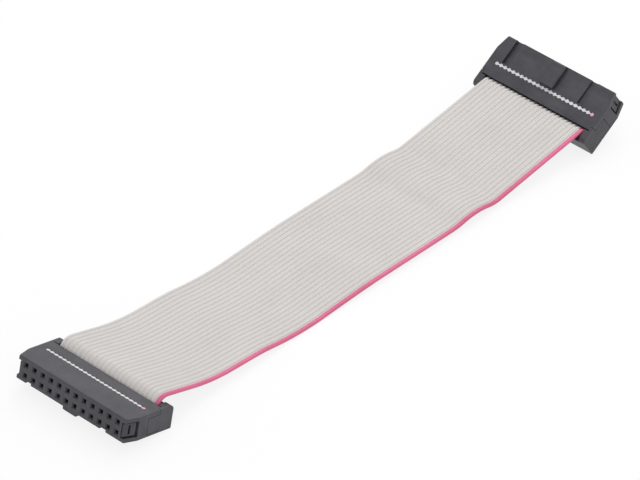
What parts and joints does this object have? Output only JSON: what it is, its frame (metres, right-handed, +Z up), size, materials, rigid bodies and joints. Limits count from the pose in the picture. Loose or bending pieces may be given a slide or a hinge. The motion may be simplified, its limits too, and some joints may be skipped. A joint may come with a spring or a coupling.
{
  "type": "ribbon cable",
  "caption": "Flat grey ribbon cable with a pink marker wire and a crimp-on pin socket, cover and strain relief at each end.",
  "frame": {"origin": "on the table under the middle of the cable's length, half way across the ribbon", "axes": "+Y from the near socket to the far socket, +Z up, +X to the side of the marker wire"},
  "size_m": [0.0342, 0.1598, 0.0129],
  "materials": {
    "grey_pvc": "satin flexible PVC",
    "pink_pvc": "satin flexible PVC",
    "black_plastic": "moulded glass-filled plastic, fine grain",
    "contact_metal": "plated spring alloy"
  },
  "bodies": {
    "root": {"ribbon_insulation": "grey_pvc", "marker_wire_insulation": "pink_pvc", "near_housing": "black_plastic", "near_cover": "black_plastic", "near_strain_relief": "black_plastic", "far_housing": "black_plastic", "far_cover": "black_plastic", "far_strain_relief": "black_plastic", "near_contacts_1": "contact_metal", "near_contacts_2": "contact_metal", "near_contacts_3": "contact_metal", "near_contacts_4": "contact_metal", "near_contacts_5": "contact_metal", "near_contacts_6": "contact_metal", "near_contacts_7": "contact_metal", "near_contacts_8": "contact_metal", "near_contacts_9": "contact_metal", "near_contacts_10": "contact_metal", "near_contacts_11": "contact_metal", "near_contacts_12": "contact_metal", "far_contacts_1": "contact_metal", "far_contacts_2": "contact_metal", "far_contacts_3": "contact_metal", "far_contacts_4": "contact_metal", "far_contacts_5": "contact_metal", "far_contacts_6": "contact_metal", "far_contacts_7": "contact_metal", "far_contacts_8": "contact_metal", "far_contacts_9": "contact_metal", "far_contacts_10": "contact_metal", "far_contacts_11": "contact_metal", "far_contacts_12": "contact_metal"}
  },
  "joints": []
}
